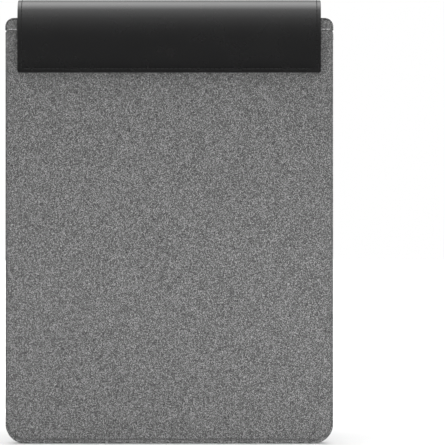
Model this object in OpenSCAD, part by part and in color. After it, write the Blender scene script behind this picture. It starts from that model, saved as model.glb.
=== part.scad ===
// Tablet case: a padded woven sleeve with a leather flap that folds over its mouth.
// The origin is the centre of the base, the front faces -Y and the mouth is at the top.

/* [Sleeve] */
// Width of the sleeve over its side gusset
body_w = 245.5; // [190:0.5:300]
// Height of the sleeve from its base to the edge of its mouth
body_h = 318.5; // [230:0.5:400]
// Thickness of the sleeve over its two panels
body_t = 16; // [12:0.5:26]
// Radius of the two bottom corners
bottom_r = 15; // [8:0.5:25]
// Radius of the two corners at the mouth
mouth_r = 6.5; // [3:0.5:7]
// Depth of the binding that wraps the edge of the mouth
binding_h = 9.5; // [8.5:0.5:14]

/* [Layers] */
// Thickness of the woven outer fabric
fabric_t = 0.9; // [0.6:0.1:1.4]
// Thickness of the foam in the front and back panels
foam_t = 2.6; // [1.6:0.1:3.4]
// Thickness of the plush lining of the panels
lining_t = 0.7; // [0.4:0.1:1]
// Thickness of the gusset's laminated fabric
gusset_t = 1.4; // [0.8:0.1:2]
// Thickness of the foam strip inside the gusset
gusset_foam_t = 1.5; // [0.8:0.1:2.5]
// Thickness of the gusset's own lining
gusset_lining_t = 0.6; // [0.4:0.1:1]
// Depth of the seam groove, from a panel's face to the gusset's edge
seam_depth = 1.2; // [0.6:0.1:2]
// Gap between the top of the gusset and the mouth binding
notch = 0.6; // [0.2:0.1:1.5]

/* [Flap] */
// Distance from each side of the sleeve to the flap
flap_inset = 8.75; // [4:0.25:15]
// How far the flap comes down the front from the edge of the mouth
flap_drop = 40.5; // [32:0.5:80]
// How far the anchor goes down the back from the edge of the mouth
anchor_drop = 40.5; // [20:0.5:80]
// Height of the roll's axis above the edge of the mouth
flap_lift = 3.5; // [2.5:0.5:10]
// Height of the first bend of the leather above the edge of the mouth
root_lift = 0.6; // [0.3:0.1:1.5]
// Thickness of the leather
leather_t = 1.1; // [0.8:0.1:1.6]
// Thickness of the suede that lines the flap
suede_t = 0.6; // [0.4:0.1:1]
// Thickness of the board that stiffens the front of the flap
board_t = 0.9; // [0.7:0.1:1.5]
// Clearance between the closed flap and the front panel
flap_gap = 0.35; // [0.3:0.05:1]
// Number of strips that stand for the flexible roll
strips = 5; // [3:1:8]
// Gap between neighbouring strips, which the hinge axes lie in
strip_gap = 0.12; // [0.1:0.02:0.3]
// Distance from the board's upper edge to the roll's axis
board_short = 8; // [5:0.5:12]
// Clearance between the board and the leather turned in round it
board_gap = 0.2; // [0.1:0.05:0.5]
// Height over which the suede closes up from the board to the leather
ramp_h = 6; // [2:0.5:8]
// Glue line between the curved leather and its suede
bond = 0.02; // [0.01:0.01:0.05]

/* [Closure] */
// Diameter of each magnet
magnet_d = 12; // [8:0.5:18]
// Distance of each magnet from the side of the flap
magnet_inset = 44; // [15:1:60]
// Height of the magnets above the flap's lower edge
magnet_up = 13; // [12:0.5:18]
// Clearance round a magnet in its board
magnet_gap = 0.1; // [0.05:0.05:0.3]
// Diameter of each steel plate behind the front fabric
plate_d = 14; // [10:0.5:20]
// Thickness of each steel plate
plate_t = 0.6; // [0.4:0.1:1]
// Clearance round a steel plate in the foam
plate_gap = 0.1; // [0.05:0.05:0.3]

/* [Stitching] */
// Radius of the sewing thread
thread_r = 0.3; // [0.2:0.05:0.4]
// Length of one stitch
stitch_len = 2.6; // [1.5:0.1:4]
// Distance from one stitch to the next
stitch_pitch = 3.4; // [2.6:0.1:5]
// Distance of a stitched line from the edge of the leather
stitch_edge = 3; // [2:0.5:5]
// Height of the binding's stitched line above its lower edge
binding_stitch_up = 1.2; // [0.8:0.1:3]
// Number of threads in each bar tack
tack_threads = 6; // [3:1:8]
// Length of a bar tack's threads
tack_len = 6; // [3:0.5:8]
// Distance from the top of the gusset to the bar tack
tack_down = 1.5; // [1:0.5:6]
// Clearance round a sunk stitch
groove_gap = 0.1; // [0.05:0.05:0.3]

/* [Hidden] */
$fn = 64;
lap = 1;                                             // how far a cutter runs past what it cuts

face_y = body_t / 2;                                 // a panel's outer face, from the middle plane
foam_y = face_y - fabric_t;
lining_y = foam_y - foam_t;
cavity_y = lining_y - lining_t;
gusset_y = face_y - seam_depth;
binding_z = body_h - binding_h;                      // lower edge of the mouth binding
gusset_top = binding_z - notch;
groove_half = thread_r + groove_gap;
binding_stitch_z = binding_z + binding_stitch_up;

flap_w = body_w - 2 * flap_inset;
flap_stack = leather_t + board_t + suede_t;
front_y = face_y + flap_gap + flap_stack;            // the flap's outer face, in front of the middle plane
back_y = face_y + leather_t;                         // the anchor's outer face, behind the middle plane
roll_r = (front_y + back_y) / 2;                     // outer radius of the roll
roll_y = (back_y - front_y) / 2;                     // the roll's axis
roll_z = body_h + flap_lift;
root_z = body_h + root_lift;                         // the first bend
flap_low = body_h - flap_drop;
flap_top = roll_z - strip_gap / 2;
anchor_low = body_h - anchor_drop;
strip_angle = 180 / strips;
gap_angle = asin(strip_gap / 2 / roll_r);            // half the gap, seen from the roll's axis
board_top = roll_z - board_short;
ramp_top = board_top + ramp_h;

magnet_x = flap_w / 2 - magnet_inset;
magnet_z = flap_low + magnet_up;
tack_pitch = 2 * thread_r + 2 * groove_gap;
tack_h = tack_threads * tack_pitch;
tack_z = gusset_top - tack_down - tack_h / 2;

STRIP_NUMBERS = [for (k = [1:strips]) k];

// ---------- shared shapes ----------

// What lies outside a rounded corner whose point is at [x, z]; in_x and in_z point into the outline
module corner_waste(x, z, in_x, in_z, r) {
    difference() {
        translate([min(x - in_x * lap, x + in_x * r), min(z - in_z * lap, z + in_z * r)])
            square(r + lap);
        translate([x + in_x * r, z + in_z * r]) circle(r);
    }
}

// The sleeve's outline seen from the front, moved in by a margin all round
module outline(margin) {
    half = body_w / 2 - margin;
    low_r = bottom_r - margin;
    top_r = max(mouth_r - margin, 1);
    difference() {
        translate([-half, margin]) square([2 * half, body_h - 2 * margin]);
        for (side = [-1, 1]) {
            corner_waste(side * half, margin, -side, 1, low_r);
            corner_waste(side * half, body_h - margin, -side, -1, top_r);
        }
    }
}

// The outline as a slab from y0 to y1
module slab(margin, y0, y1) {
    translate([0, y1, 0]) rotate([90, 0, 0]) linear_extrude(y1 - y0) outline(margin);
}

// Everything between two heights
module layer(z0, z1) {
    translate([-body_w, -body_t, z0]) cube([2 * body_w, 2 * body_t, z1 - z0]);
}

// The shapes of the front panel, turned round to the back
module at_back() {
    mirror([0, 1, 0]) children();
}

// One stitch along X: half a thread, its flat side on the XY plane
module stitch(length) {
    intersection() {
        rotate([0, 90, 0]) cylinder(r = thread_r, h = length, center = true);
        translate([-length, -2 * thread_r, 0]) cube([2 * length, 4 * thread_r, 2 * thread_r]);
    }
}

function stitch_count(length) = floor((length - stitch_len) / stitch_pitch) + 1;

// Stitches across the front at height z, centred, on the face y
module stitches_across(length, y, z) {
    count = stitch_count(length);
    for (i = [0:count - 1])
        translate([(i - (count - 1) / 2) * stitch_pitch, -y, z]) rotate([90, 0, 0]) stitch(stitch_len);
}

// Stitches up the front at x, from z0 to z1, on the face y
module stitches_up(x, y, z0, z1) {
    count = stitch_count(z1 - z0);
    for (i = [0:count - 1])
        translate([x, -y, (z0 + z1) / 2 + (i - (count - 1) / 2) * stitch_pitch])
            rotate([90, 0, 0]) rotate([0, 0, 90]) stitch(stitch_len);
}

// Stitches down both sides and along the lower edge of a leather panel
module edge_stitches(y, low, high) {
    x = flap_w / 2 - stitch_edge;
    stitches_across(2 * (x - stitch_edge / 2), y, low + stitch_edge);
    for (side = [-1, 1])
        stitches_up(side * x, y, low + stitch_edge, high);
}

// Part of a tube round the roll's axis, from angle a0 to a1, counted from the back over the top
module arc(r0, r1, a0, a1, width) {
    translate([0, roll_y, roll_z]) rotate([90, 0, 90]) rotate([0, 0, a0])
        rotate_extrude(angle = a1 - a0) translate([r0, -width / 2]) square([r1 - r0, width]);
}

// ---------- panels ----------

module panel_fabric() {
    color("#787878") intersection() {
        slab(gusset_t, -face_y, -foam_y);
        layer(-lap, binding_z);
    }
}

module panel_foam() {
    color("#3c3c3e") slab(gusset_t, -foam_y, -lining_y);
}

// The front foam also holds the steel plates, just behind the fabric
module front_foam() {
    color("#3c3c3e") difference() {
        panel_foam();
        discs(plate_d + 2 * plate_gap, -foam_y - lap, lap + plate_t);
    }
}

module panel_lining() {
    color("#4a4a4c") intersection() {
        slab(gusset_t, -lining_y, -cavity_y);
        layer(-lap, binding_z);
    }
}

// A cap over the panel's top edge, with a sunk line for its stitches
module mouth_binding() {
    color("#6f6f6f") difference() {
        intersection() {
            slab(0, -face_y, -cavity_y);
            layer(binding_z, body_h + lap);
        }
        slab(gusset_t, -foam_y, -lining_y);
        translate([-body_w, -face_y - lap, binding_stitch_z - groove_half])
            cube([2 * body_w, lap + thread_r, 2 * groove_half]);
    }
}

module mouth_stitches() {
    color("#9a9a9a") stitches_across(body_w - 2 * gusset_t, face_y - thread_r, binding_stitch_z);
}

// ---------- gusset ----------

// A strip round the sides and the base, between two margins of the outline
module gusset_strip(outer, inner, half_y, top) {
    difference() {
        intersection() {
            slab(outer, -half_y, half_y);
            layer(-lap, top);
        }
        slab(inner, -half_y - lap, half_y + lap);
    }
}

module gusset_fabric() {
    color("#747474") difference() {
        gusset_strip(0, gusset_t, gusset_y, gusset_top);
        for (side = [-1, 1])
            translate([side * body_w / 2, 0, tack_z])
                cube([2 * thread_r, tack_len + 2 * thread_r, tack_h + 2 * thread_r], center = true);
    }
}

module gusset_foam() {
    color("#38383a") gusset_strip(gusset_t, gusset_t + gusset_foam_t, cavity_y, gusset_top);
}

module gusset_lining() {
    margin = gusset_t + gusset_foam_t;
    color("#464648") gusset_strip(margin, margin + gusset_lining_t, cavity_y, gusset_top);
}

// Close threads across the top end of the gusset on each side, sunk flush with it
module bar_tacks() {
    color("#8c8c8c") for (side = [-1, 1], i = [0:tack_threads - 1])
        translate([side * (body_w / 2 - thread_r), 0, tack_z + (i - (tack_threads - 1) / 2) * tack_pitch])
            rotate([0, side * 90, 0]) rotate([0, 0, 90]) stitch(tack_len);
}

// ---------- closure ----------

// A disc at each of the two closure places, from y inwards
module discs(diameter, y, depth) {
    for (side = [-1, 1])
        translate([side * magnet_x, y, magnet_z]) rotate([-90, 0, 0]) cylinder(d = diameter, h = depth);
}

module closure_plates() {
    color("#b9bcc0") discs(plate_d, -foam_y, plate_t);
}

module flap_magnets() {
    color("#c8cacd") discs(magnet_d, leather_t - front_y, board_t);
}

// ---------- flap ----------

module flap_anchor() {
    color("#1c1c1d") translate([-flap_w / 2, face_y, anchor_low])
        cube([flap_w, leather_t, root_z - strip_gap / 2 - anchor_low]);
}

module anchor_stitches() {
    color("#101010") at_back() edge_stitches(back_y, anchor_low, body_h - stitch_edge);
}

// The straight part of a layer between the first hinge and the roll, behind the mouth
module roll_start(outer_y, thickness, width) {
    translate([-width / 2, outer_y - thickness, root_z + strip_gap / 2])
        cube([width, thickness, roll_z - root_z - strip_gap / 2]);
}

// The angles that strip k covers, short of its neighbours by half the gap
function strip_start(k) = k == 1 ? 0 : (k - 1) * strip_angle + gap_angle;
function strip_end(k) = k * strip_angle - gap_angle;

module roll_leather(k) {
    color("#1c1c1d") {
        arc(roll_r - leather_t, roll_r, strip_start(k), strip_end(k), flap_w);
        if (k == 1) roll_start(back_y, leather_t, flap_w);
    }
}

module roll_suede(k) {
    outer = roll_r - leather_t - bond;
    inner = roll_r - leather_t - suede_t;
    color("#2b2b2c") {
        arc(inner, outer, strip_start(k), strip_end(k), flap_w);
        if (k == 1) roll_start(roll_y + outer, outer - inner, flap_w);
    }
}

// Two curved stitches on each side of a strip
module roll_stitches(k) {
    share = (strip_end(k) - strip_start(k)) / 2;
    angle = min(stitch_len / roll_r * 180 / PI, share * stitch_len / stitch_pitch);
    color("#101010") for (side = [-1, 1], j = [0, 1])
        translate([0, roll_y, roll_z]) rotate([90, 0, 90])
            rotate([0, 0, strip_start(k) + (j + 0.5) * share - angle / 2])
                rotate_extrude(angle = angle) translate([roll_r, side * (flap_w / 2 - stitch_edge)])
                    intersection() {
                        circle(thread_r);
                        translate([0, -2 * thread_r]) square(4 * thread_r);
                    }
}

// A tray of leather, turned in at the sides and the lower edge
module flap_leather() {
    color("#1c1c1d") difference() {
        translate([-flap_w / 2, -front_y, flap_low])
            cube([flap_w, leather_t + board_t, flap_top - flap_low]);
        translate([-flap_w / 2 + leather_t, -front_y + leather_t, flap_low + leather_t])
            cube([flap_w - 2 * leather_t, board_t + lap, flap_top]);
    }
}

module flap_board() {
    inset = leather_t + board_gap;
    color("#56524a") difference() {
        translate([-flap_w / 2 + inset, leather_t - front_y, flap_low + inset])
            cube([flap_w - 2 * inset, board_t, board_top - flap_low - inset]);
        discs(magnet_d + 2 * magnet_gap, -front_y, flap_stack);
    }
}

// A strip of suede across the flap, on the outline that the points give in Y and Z
module suede_strip(width, points) {
    translate([-width / 2, 0, 0]) rotate([90, 0, 90]) linear_extrude(width) polygon(points);
}

// Lies flat over the board, then closes up against the leather before the roll
module flap_suede() {
    skin = flap_stack - front_y;
    under = skin - suede_t;
    color("#2b2b2c") {
        suede_strip(flap_w, [[skin, flap_low], [skin, board_top], [under, board_top], [under, flap_low]]);
        suede_strip(flap_w - 2 * leather_t - 2 * board_gap, [
            [skin, board_top], [skin - board_t, ramp_top], [skin - board_t, flap_top],
            [under - board_t, flap_top], [under - board_t, ramp_top], [under, board_top]
        ]);
    }
}

module flap_stitches() {
    color("#101010") edge_stitches(front_y, flap_low, flap_top - stitch_edge / 2);
}

panel_fabric();  // front_fabric
front_foam();
panel_lining();  // front_lining
mouth_binding();  // front_mouth_binding
mouth_stitches();  // front_mouth_stitches
at_back() panel_fabric();  // back_fabric
at_back() panel_foam();  // back_foam
at_back() panel_lining();  // back_lining
at_back() mouth_binding();  // back_mouth_binding
at_back() mouth_stitches();  // back_mouth_stitches
gusset_fabric();
gusset_foam();
gusset_lining();
bar_tacks();
closure_plates();
flap_anchor();
anchor_stitches();
for (k = STRIP_NUMBERS) {
    roll_leather(k);
    roll_suede(k);
    roll_stitches(k);
}
flap_leather();
flap_board();
flap_suede();
flap_magnets();
flap_stitches();
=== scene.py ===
import math

import bmesh
import bpy
import numpy as np
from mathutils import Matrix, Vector


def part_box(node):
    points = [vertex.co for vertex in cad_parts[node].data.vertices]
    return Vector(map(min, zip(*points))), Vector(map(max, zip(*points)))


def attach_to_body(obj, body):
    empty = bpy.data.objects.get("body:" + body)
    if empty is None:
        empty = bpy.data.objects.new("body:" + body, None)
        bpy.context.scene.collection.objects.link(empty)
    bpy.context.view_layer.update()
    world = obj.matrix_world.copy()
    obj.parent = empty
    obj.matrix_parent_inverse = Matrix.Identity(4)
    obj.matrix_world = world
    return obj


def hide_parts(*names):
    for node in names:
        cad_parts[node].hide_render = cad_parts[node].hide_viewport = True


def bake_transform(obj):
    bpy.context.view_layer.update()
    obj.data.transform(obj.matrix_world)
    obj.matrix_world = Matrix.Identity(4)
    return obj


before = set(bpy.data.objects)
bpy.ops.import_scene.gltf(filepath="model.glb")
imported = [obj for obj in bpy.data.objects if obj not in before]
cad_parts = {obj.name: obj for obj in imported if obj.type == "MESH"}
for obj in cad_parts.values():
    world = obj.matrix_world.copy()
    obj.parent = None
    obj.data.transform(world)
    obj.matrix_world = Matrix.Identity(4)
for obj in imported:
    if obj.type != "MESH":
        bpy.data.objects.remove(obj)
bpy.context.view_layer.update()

mm = 0.001

# what the whole case shares, read off the frame where the frame has it
sleeve = {
    "halfWidth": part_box("gusset_fabric")[1].x,
    "mouth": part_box("front_mouth_binding")[1].z,
    "face": -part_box("front_fabric")[0].y,
    "bindingLow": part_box("front_mouth_binding")[0].z,
    "cavity": -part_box("front_lining")[1].y,
    "foamBack": -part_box("front_foam")[1].y,
    "bottomRadius": 15 * mm,
    "mouthRadius": 6.5 * mm,
    "seamSide": 1.3 * mm,        # from the silhouette in to the seam, at the sides
    "seamBase": 2.9 * mm,        # and along the base
    "seamDepth": 6.25 * mm,      # how far from the middle plane the panel's edge starts
    "shoulder": 2.3 * mm,        # width of the rounding from the seam up to the face
}


# camera

camera = {"lens": 200, "sensor": 36, "aim": (0.0398, 0, 0.1654), "framed": 0.3326, "clipEnd": 60}

def makeCamera():
    data = bpy.data.cameras.new("camera")
    data.lens = camera["lens"]
    data.sensor_width = camera["sensor"]
    data.clip_end = camera["clipEnd"]
    away = camera["lens"] / camera["sensor"] * camera["framed"]
    obj = bpy.data.objects.new("camera", data)
    bpy.context.scene.collection.objects.link(obj)
    obj.location = (camera["aim"][0], -sleeve["face"] - away, camera["aim"][2])
    obj.rotation_euler = (math.radians(90), 0, 0)
    bpy.context.scene.camera = obj

makeCamera()
print("camera set")


# node tools

# a plain value goes straight into a socket, and another node's output is linked to it
def feed(tree, socket, value):
    if isinstance(value, bpy.types.NodeSocket):
        tree.links.new(value, socket)
    else:
        socket.default_value = value

# a node with its settings, its sockets fed by name or number
def addNode(tree, kind, inputs=None, **settings):
    new = tree.nodes.new(kind)
    for key, value in settings.items():
        setattr(new, key, value)
    for key, value in (inputs or {}).items():
        feed(tree, new.inputs[key], value)
    return new

def maths(tree, operation, *parts):
    return addNode(tree, "ShaderNodeMath", dict(enumerate(parts)), operation=operation).outputs[0]

def vectorMaths(tree, operation, *parts):
    return addNode(tree, "ShaderNodeVectorMath", dict(enumerate(parts)), operation=operation).outputs[0]

def combine(tree, *parts):
    return addNode(tree, "ShaderNodeCombineXYZ", dict(enumerate(parts))).outputs[0]

def mixFloat(tree, factor, a, b):
    return addNode(tree, "ShaderNodeMix", {0: factor, 2: a, 3: b}, data_type="FLOAT").outputs[0]

def mixColour(tree, factor, a, b, blend="MIX"):
    new = addNode(tree, "ShaderNodeMix", {0: factor, 6: a, 7: b}, data_type="RGBA", blend_type=blend)
    return new.outputs[2]

# goes smoothly from first to last as the value goes from low to high
def fade(tree, value, low, high, first=0.0, last=1.0):
    values = {"Value": value, "From Min": low, "From Max": high, "To Min": first, "To Max": last}
    return addNode(tree, "ShaderNodeMapRange", values, interpolation_type="SMOOTHSTEP").outputs[0]

# stops are (place, grey) or (place, colour)
def ramp(tree, value, stops):
    new = addNode(tree, "ShaderNodeValToRGB", {0: value})
    while len(new.color_ramp.elements) < len(stops):
        new.color_ramp.elements.new(0.5)
    for element, (place, colour) in zip(new.color_ramp.elements, stops):
        element.position = place
        element.color = (*colour, 1) if isinstance(colour, tuple) else (colour, colour, colour, 1)
    return new.outputs[0]

def noise(tree, place, scale, detail=2.0, roughness=0.5):
    values = {"Vector": place, "Scale": scale, "Detail": detail, "Roughness": roughness}
    return addNode(tree, "ShaderNodeTexNoise", values).outputs[0]

def whiteNoise(tree, place):
    return addNode(tree, "ShaderNodeTexWhiteNoise", {"Vector": place}, noise_dimensions="2D").outputs["Value"]

# a shared effect, with a Place and some named values going in, and values coming out
def newGroup(name, values, results):
    group = bpy.data.node_groups.new(name, "ShaderNodeTree")
    group.interface.new_socket("Place", in_out="INPUT", socket_type="NodeSocketVector")
    for socket, value in values.items():
        made = group.interface.new_socket(socket, in_out="INPUT", socket_type="NodeSocketFloat")
        made.default_value = value
    for socket in results:
        group.interface.new_socket(socket, in_out="OUTPUT", socket_type="NodeSocketFloat")
    return group, addNode(group, "NodeGroupInput").outputs, addNode(group, "NodeGroupOutput").inputs


# shared effects

weave = {
    "sway": 140,                         # yarns are never quite straight
    "full": 0.55,                        # height of a yarn at its ends, where it dives under the next
    "warpStretch": 1.7,                  # length of one dyed stretch, in yarns
    "weftStretch": 1.1,
    "crossing": 0.45,                    # share of the tone that belongs to one crossing alone
    "cloud": 70,                         # slower changes over the cloth
    "streak": (900, 60, 1),
}

# Plain weave of unevenly dyed yarns. Tone is 0 to 1, Height is 0 in the gaps and 1 on the yarns.
def makeWeaveGroup():
    group, inside, out = newGroup("melangeWeave", {"Pitch": 0.55 * mm, "Wander": 0.4, "Mottle": 0.1},
                                  ("Tone", "Height"))
    place, pitch = inside["Place"], inside["Pitch"]
    sway = noise(group, place, weave["sway"], 1)
    offset = maths(group, "MULTIPLY", maths(group, "SUBTRACT", sway, 0.5), inside["Wander"])
    counted = vectorMaths(group, "DIVIDE", place, combine(group, pitch, pitch, pitch))
    split = addNode(group, "ShaderNodeSeparateXYZ", {0: counted})
    x = maths(group, "ADD", split.outputs[0], offset)
    y = maths(group, "ADD", split.outputs[1], offset)
    column, row = maths(group, "FLOOR", x), maths(group, "FLOOR", y)
    over = maths(group, "FLOORED_MODULO", maths(group, "ADD", column, row), 2.0)

    # 1 along the middle of a yarn and 0 between two yarns
    def bulge(at):
        fromMiddle = maths(group, "SUBTRACT", maths(group, "FRACT", at), 0.5)
        return maths(group, "COSINE", maths(group, "MULTIPLY", fromMiddle, math.pi))

    def crown(main, other):
        return maths(group, "MULTIPLY", main,
                     maths(group, "MULTIPLY_ADD", other, 1 - weave["full"], weave["full"]))

    warpBulge, weftBulge = bulge(x), bulge(y)
    height = mixFloat(group, over, crown(warpBulge, weftBulge), crown(weftBulge, warpBulge))

    # dyed stretches along each yarn, starting at a different place on every one
    def slub(yarn, along, stretch, seed):
        start = whiteNoise(group, combine(group, yarn, seed, 0.0))
        piece = maths(group, "FLOOR", maths(group, "ADD", maths(group, "DIVIDE", along, stretch), start))
        return whiteNoise(group, combine(group, maths(group, "ADD", yarn, seed * 7.31), piece, 0.0))

    warp = slub(column, y, weave["warpStretch"], 3.0)
    weft = slub(row, x, weave["weftStretch"], 5.0)
    yarn = mixFloat(group, over, warp, weft)
    tone = mixFloat(group, weave["crossing"], yarn, whiteNoise(group, combine(group, column, row, 0.0)))
    cloudy = maths(group, "SUBTRACT", noise(group, place, weave["cloud"], 3), 0.5)
    streaky = noise(group, vectorMaths(group, "MULTIPLY", place, weave["streak"]), 1, 2)
    cloudy = maths(group, "ADD", cloudy, maths(group, "SUBTRACT", streaky, 0.5))
    feed(group, out["Tone"], maths(group, "MULTIPLY_ADD", cloudy, inside["Mottle"], tone))
    feed(group, out["Height"], height)
    return group

grain = {"bend": (0.8, 0.6), "smoothness": 0.4, "fine": 4, "fineShare": 0.25, "cloud": 45}

# Fine pebbled skin with creases between the cells, Height 0 to 1
def makeGrainGroup():
    group, inside, out = newGroup("leatherGrain", {"Size": 0.7 * mm}, ("Height", "Cloud"))
    size = inside["Size"]
    place = vectorMaths(group, "DIVIDE", inside["Place"], combine(group, size, size, size))
    bend = combine(group, *(noise(group, place, scale, 2) for scale in grain["bend"]), 0.0)
    cells = addNode(group, "ShaderNodeTexVoronoi", {
        "Vector": vectorMaths(group, "ADD", place, bend), "Scale": 1, "Smoothness": grain["smoothness"]},
        feature="SMOOTH_F1")
    pebble = maths(group, "SUBTRACT", 1.0, cells.outputs["Distance"])
    fine = noise(group, place, grain["fine"], 3)
    feed(group, out["Height"], mixFloat(group, grain["fineShare"], pebble, fine))
    feed(group, out["Cloud"], noise(group, inside["Place"], grain["cloud"], 3))
    return group

fibre = {"roughness": 0.75, "patch": 0.06, "patchShare": 0.5}

# Short fibres lying every way, for suede, pile, foam skin and thread
def makeFuzzGroup():
    group, inside, out = newGroup("fibreFuzz", {"Size": 0.5 * mm, "Stretch": 1.0}, ("Tone", "Height"))
    size = inside["Size"]
    lengthways = maths(group, "MULTIPLY", size, inside["Stretch"])
    place = vectorMaths(group, "DIVIDE", inside["Place"], combine(group, size, lengthways, size))
    fibres = noise(group, place, 1.0, 5, fibre["roughness"])
    patches = noise(group, place, fibre["patch"], 3)
    feed(group, out["Tone"], mixFloat(group, fibre["patchShare"], fibres, patches))
    feed(group, out["Height"], fibres)
    return group

wear = {"patch": 160, "gain": 1.2, "start": -0.1}

# Where hands and edges have rubbed a piece: 0 away from its edges, up to 1 on them
def makeWearGroup():
    group, inside, out = newGroup("edgeWear", {"Edge": 0.0}, ("Mask",))
    patchy = noise(group, inside["Place"], wear["patch"], 4, 0.6)
    rubbed = maths(group, "MULTIPLY_ADD", patchy, wear["gain"], wear["start"])
    mask = maths(group, "MULTIPLY", maths(group, "POWER", inside["Edge"], 2.0), rubbed)
    feed(group, out["Mask"], addNode(group, "ShaderNodeClamp", {0: mask}).outputs[0])
    return group

weaveGroup = makeWeaveGroup()
grainGroup = makeGrainGroup()
fuzzGroup = makeFuzzGroup()
wearGroup = makeWearGroup()
print("shared effects made")


# materials

# surface holds the plain values of the shader's sockets, by name
def newMaterial(name, surface):
    material = bpy.data.materials.new(name)
    material.use_nodes = True
    tree = material.node_tree
    shader = tree.nodes["Principled BSDF"]
    for key, value in surface.items():
        shader.inputs[key].default_value = value
    return material, tree, shader

# the flat pattern that a piece was cut from, in metres
def cutPlace(tree):
    return addNode(tree, "ShaderNodeUVMap", uv_map="cutPattern").outputs[0]

# the place on the object itself, for the plain solids that came with the frame
def solidPlace(tree):
    return addNode(tree, "ShaderNodeTexCoord").outputs["Object"]

def placeGroup(tree, group, place, **values):
    return addNode(tree, "ShaderNodeGroup", {"Place": place, **values}, node_tree=group)

def addBump(tree, shader, height, distance, strength):
    bump = addNode(tree, "ShaderNodeBump", {"Strength": strength, "Distance": distance, "Height": height})
    feed(tree, shader.inputs["Normal"], bump.outputs[0])

def edgeMask(tree, place):
    edge = addNode(tree, "ShaderNodeAttribute", attribute_name="edge").outputs["Fac"]
    return placeGroup(tree, wearGroup, place, Edge=edge).outputs["Mask"]

melange = {
    "pitch": 0.52 * mm, "dark": 0.0095, "middle": 0.067, "light": 0.245, "mottle": 0.08,
    "gap": 0.62,                         # share of the colour left between the yarns, where painted shade darkens the rest
    "relief": 0.1 * mm, "bump": 0.7,
    "surface": {"Roughness": 0.9, "Specular IOR Level": 0.25, "Sheen Weight": 0.12, "Sheen Roughness": 0.5},
}

def makeMelange():
    material, tree, shader = newMaterial("melangeFabric", melange["surface"])
    woven = placeGroup(tree, weaveGroup, cutPlace(tree), Pitch=melange["pitch"], Mottle=melange["mottle"])
    dyed = ramp(tree, woven.outputs["Tone"], [
        (0.08, melange["dark"]), (0.5, melange["middle"]), (0.95, melange["light"])])
    # painted shade: the colour is darkened in the gaps between the yarns, following the weave's height
    shade = maths(tree, "MULTIPLY_ADD", woven.outputs["Height"], 1 - melange["gap"], melange["gap"])
    feed(tree, shader.inputs["Base Color"], mixColour(tree, 1.0, dyed, shade, "MULTIPLY"))
    addBump(tree, shader, woven.outputs["Height"], melange["relief"], melange["bump"])
    return material

leather = {
    "grain": 0.75 * mm, "colour": (0.002, 0.002, 0.0021), "pale": (0.006, 0.006, 0.0063),
    "paleShare": 0.5, "rubbedRoughness": -0.08, "cloudRoughness": 0.06,
    "relief": 0.02 * mm, "bump": 0.6,
    "surface": {"Roughness": 0.27, "Specular IOR Level": 0.75},
}

def makeLeather():
    material, tree, shader = newMaterial("blackLeather", leather["surface"])
    place = cutPlace(tree)
    pebbled = placeGroup(tree, grainGroup, place, Size=leather["grain"])
    worn = edgeMask(tree, place)
    paler = maths(tree, "MULTIPLY", worn, leather["paleShare"])
    colour = mixColour(tree, paler, (*leather["colour"], 1), (*leather["pale"], 1))
    feed(tree, shader.inputs["Base Color"], colour)
    least = leather["surface"]["Roughness"] - leather["cloudRoughness"] / 2
    cloud = maths(tree, "MULTIPLY_ADD", pebbled.outputs["Cloud"], leather["cloudRoughness"], least)
    roughness = maths(tree, "MULTIPLY_ADD", worn, leather["rubbedRoughness"], cloud)
    feed(tree, shader.inputs["Roughness"], roughness)
    addBump(tree, shader, pebbled.outputs["Height"], leather["relief"], leather["bump"])
    return material

suede = {
    "fibre": 0.22 * mm, "stretch": 1.5, "dark": 0.016, "light": 0.05, "worn": 0.15,
    "relief": 0.06 * mm, "bump": 0.7,
    "surface": {"Roughness": 0.95, "Specular IOR Level": 0.2, "Sheen Weight": 0.3, "Sheen Roughness": 0.4},
}

def makeSuede():
    material, tree, shader = newMaterial("flapSuede", suede["surface"])
    place = cutPlace(tree)
    fuzz = placeGroup(tree, fuzzGroup, place, Size=suede["fibre"], Stretch=suede["stretch"])
    tone = maths(tree, "MULTIPLY_ADD", edgeMask(tree, place), suede["worn"], fuzz.outputs["Tone"])
    feed(tree, shader.inputs["Base Color"], ramp(tree, tone, [(0.3, suede["dark"]), (0.75, suede["light"])]))
    addBump(tree, shader, fuzz.outputs["Height"], suede["relief"], suede["bump"])
    return material

plush = {
    "pile": 0.4 * mm, "stretch": 1.8, "dark": 0.03, "light": 0.12, "relief": 0.16 * mm, "bump": 0.8,
    "surface": {"Roughness": 1.0, "Specular IOR Level": 0.15, "Sheen Weight": 0.6, "Sheen Roughness": 0.35},
}

def makePlush():
    material, tree, shader = newMaterial("plushLining", plush["surface"])
    fuzz = placeGroup(tree, fuzzGroup, cutPlace(tree), Size=plush["pile"], Stretch=plush["stretch"])
    pile = ramp(tree, fuzz.outputs["Tone"], [(0.3, plush["dark"]), (0.72, plush["light"])])
    feed(tree, shader.inputs["Base Color"], pile)
    addBump(tree, shader, fuzz.outputs["Height"], plush["relief"], plush["bump"])
    return material

twist = {"scale": 420, "wobble": 0.6, "fibre": 0.12 * mm, "fuzzy": 0.35, "relief": 0.08 * mm, "bump": 0.8}

# Twisted thread: cutPattern runs along the stitch and round it
def makeThread(name, dark, light, roughness, sheen, specular):
    material, tree, shader = newMaterial(name, {
        "Roughness": roughness, "Specular IOR Level": specular, "Sheen Weight": sheen})
    place = cutPlace(tree)
    plies = addNode(tree, "ShaderNodeTexWave", {
        "Vector": place, "Scale": twist["scale"], "Distortion": twist["wobble"]},
        wave_type="BANDS", bands_direction="DIAGONAL")
    fuzz = placeGroup(tree, fuzzGroup, place, Size=twist["fibre"], Stretch=1.0)
    tone = mixFloat(tree, twist["fuzzy"], plies.outputs["Fac"], fuzz.outputs["Tone"])
    feed(tree, shader.inputs["Base Color"], ramp(tree, tone, [(0.15, dark), (0.8, light)]))
    addBump(tree, shader, tone, twist["relief"], twist["bump"])
    return material

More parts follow.
